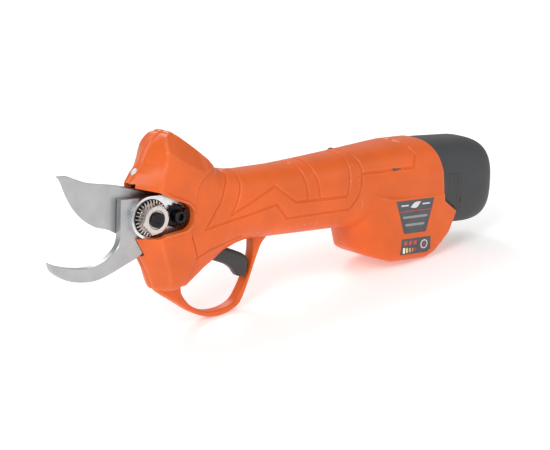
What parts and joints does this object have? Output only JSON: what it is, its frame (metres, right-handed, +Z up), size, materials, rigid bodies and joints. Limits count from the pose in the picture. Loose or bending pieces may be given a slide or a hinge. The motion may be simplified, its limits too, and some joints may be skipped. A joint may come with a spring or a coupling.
{
  "type": "battery electric pruner",
  "caption": "Pistol-handled battery pruner: hooked counter blade, powered cutting blade, orange shells, trigger guard and slide-off battery pack.",
  "frame": {"origin": "middle of the tool's bounding box, on the surface it stands on (trigger guard and controller box touching)", "axes": "+X back along the tool towards the battery, +Y to the user's right, +Z up; the tool leans nose-up by 8.5 degrees as it stands"},
  "size_m": [0.3035, 0.0465, 0.1101],
  "materials": {
    "orange_shell": "satin moulded ABS",
    "blade_steel": "satin ground carbon steel",
    "bright_steel": "machined steel",
    "aluminium": "machined aluminium",
    "black_steel": "black oxide",
    "bronze": "sintered bronze",
    "gear_steel": "hardened gear steel",
    "dark_plastic": "matte moulded plastic",
    "plate_plastic": "satin plate",
    "red_lens": "tinted lens",
    "level_lens": "tinted lens",
    "light_lens": "clear moulded lens",
    "button_cap": "satin cap",
    "circuit": "lacquered circuit board",
    "cell_sleeve": "shrink sleeve",
    "copper": "copper winding",
    "contact_metal": "plated contact",
    "wire": "insulated wire"
  },
  "bodies": {
    "handle": {"left_housing": "orange_shell", "right_housing": "orange_shell", "head_bracket": "aluminium", "counter_blade": "blade_steel", "bearing_hub": "aluminium", "pivot_bush": "bronze", "pivot_bolt": "black_steel", "pivot_nut": "bright_steel", "lock_ring": "bright_steel", "lock_gear": "black_steel", "lock_screw": "black_steel", "output_bearing": "bright_steel", "gearbox_case": "aluminium", "motor_can": "gear_steel", "motor_bearings": "bright_steel", "motor_end_cap": "dark_plastic", "motor_leads": "wire", "trigger_pin": "bright_steel", "trigger_spring": "bright_steel", "trigger_sensor": "circuit", "control_board": "circuit", "board_capacitor": "cell_sleeve", "terminal_block": "dark_plastic", "badge_plate": "plate_plastic", "control_panel": "plate_plastic", "status_lenses": "red_lens", "level_lenses": "level_lens", "work_light": "light_lens", "housing_screws": "black_steel"},
    "blade": {"cutting_blade": "blade_steel", "drive_sector": "gear_steel", "sector_pins": "bright_steel"},
    "output_shaft": {"bevel_pinion": "gear_steel", "output_carrier": "gear_steel"},
    "first_stage": {"first_carrier": "gear_steel"},
    "rotor": {"motor_rotor": "copper"},
    "trigger_lever": {"trigger": "dark_plastic", "trigger_magnet": "bright_steel"},
    "button": {"power_button": "button_cap"},
    "battery": {"battery_case": "dark_plastic", "battery_cap": "dark_plastic", "battery_cells": "cell_sleeve", "battery_contacts": "contact_metal"},
    "left_release": {"left_latch": "dark_plastic", "left_latch_spring": "bright_steel"},
    "right_release": {"right_latch": "dark_plastic", "right_latch_spring": "bright_steel"},
    "output_wheel_1": {"output_planet_1": "gear_steel"},
    "first_wheel_1": {"first_planet_1": "gear_steel"},
    "output_wheel_2": {"output_planet_2": "gear_steel"},
    "first_wheel_2": {"first_planet_2": "gear_steel"},
    "output_wheel_3": {"output_planet_3": "gear_steel"},
    "first_wheel_3": {"first_planet_3": "gear_steel"}
  },
  "joints": [
    {"name": "blade_swing", "type": "hinge", "parent": "handle", "child": "blade", "pos_m": [-0.0895, 0, 0.0686], "axis": [0, -1, 0], "range_deg": [0, 50]},
    {"name": "output_spin", "type": "hinge", "parent": "handle", "child": "output_shaft", "pos_m": [-0.05884, 0, 0.06402], "axis": [0.989, 0, -0.1478], "range_deg": [0, 180]},
    {"name": "first_spin", "type": "hinge", "parent": "handle", "child": "first_stage", "pos_m": [-0.04598, 0, 0.0621], "axis": [0.989, 0, -0.1478], "range_deg": [0, 900]},
    {"name": "rotor_spin", "type": "hinge", "parent": "handle", "child": "rotor", "pos_m": [-0.01038, 0, 0.05677], "axis": [0.989, 0, -0.1478], "range_deg": [0, 4500]},
    {"name": "trigger_pull", "type": "hinge", "parent": "handle", "child": "trigger_lever", "pos_m": [-0.04711, 0, 0.04103], "axis": [0, -1, 0], "range_deg": [0, 8], "stiffness_Nm_per_rad": 0.05},
    {"name": "button_press", "type": "slide", "parent": "handle", "child": "button", "axis": [0, 1, 0], "range_m": [0, 0.0006], "stiffness_N_per_m": 200},
    {"name": "battery_slide", "type": "slide", "parent": "handle", "child": "battery", "axis": [0.989, 0, -0.1478], "range_m": [0, 0.055]},
    {"name": "left_release_press", "type": "slide", "parent": "battery", "child": "left_release", "axis": [0, 1, 0], "range_m": [0, 0.0012], "stiffness_N_per_m": 300},
    {"name": "right_release_press", "type": "slide", "parent": "battery", "child": "right_release", "axis": [0, -1, 0], "range_m": [0, 0.0012], "stiffness_N_per_m": 300},
    {"name": "output_wheel_1_spin", "type": "hinge", "parent": "output_shaft", "child": "output_wheel_1", "pos_m": [-0.05251, 0, 0.06914], "axis": [0.989, 0, -0.1478], "range_deg": [-480, 0]},
    {"name": "first_wheel_1_spin", "type": "hinge", "parent": "first_stage", "child": "first_wheel_1", "pos_m": [-0.03966, 0, 0.06722], "axis": [0.989, 0, -0.1478], "range_deg": [-2400, 0]},
    {"name": "output_wheel_2_spin", "type": "hinge", "parent": "output_shaft", "child": "output_wheel_2", "pos_m": [-0.05384, -0.0052, 0.06024], "axis": [0.989, 0, -0.1478], "range_deg": [-480, 0]},
    {"name": "first_wheel_2_spin", "type": "hinge", "parent": "first_stage", "child": "first_wheel_2", "pos_m": [-0.04099, -0.0052, 0.05832], "axis": [0.989, 0, -0.1478], "range_deg": [-2400, 0]},
    {"name": "output_wheel_3_spin", "type": "hinge", "parent": "output_shaft", "child": "output_wheel_3", "pos_m": [-0.05384, 0.0052, 0.06024], "axis": [0.989, 0, -0.1478], "range_deg": [-480, 0]},
    {"name": "first_wheel_3_spin", "type": "hinge", "parent": "first_stage", "child": "first_wheel_3", "pos_m": [-0.04099, 0.0052, 0.05832], "axis": [0.989, 0, -0.1478], "range_deg": [-2400, 0]}
  ],
  "couplings": [
    {"joint": "output_spin", "follows": "blade_swing", "ratio": 3.6},
    {"joint": "first_spin", "follows": "blade_swing", "ratio": 18},
    {"joint": "rotor_spin", "follows": "blade_swing", "ratio": 90},
    {"joint": "output_wheel_1_spin", "follows": "blade_swing", "ratio": -9.6},
    {"joint": "first_wheel_1_spin", "follows": "blade_swing", "ratio": -48},
    {"joint": "output_wheel_2_spin", "follows": "blade_swing", "ratio": -9.6},
    {"joint": "first_wheel_2_spin", "follows": "blade_swing", "ratio": -48},
    {"joint": "output_wheel_3_spin", "follows": "blade_swing", "ratio": -9.6},
    {"joint": "first_wheel_3_spin", "follows": "blade_swing", "ratio": -48}
  ]
}
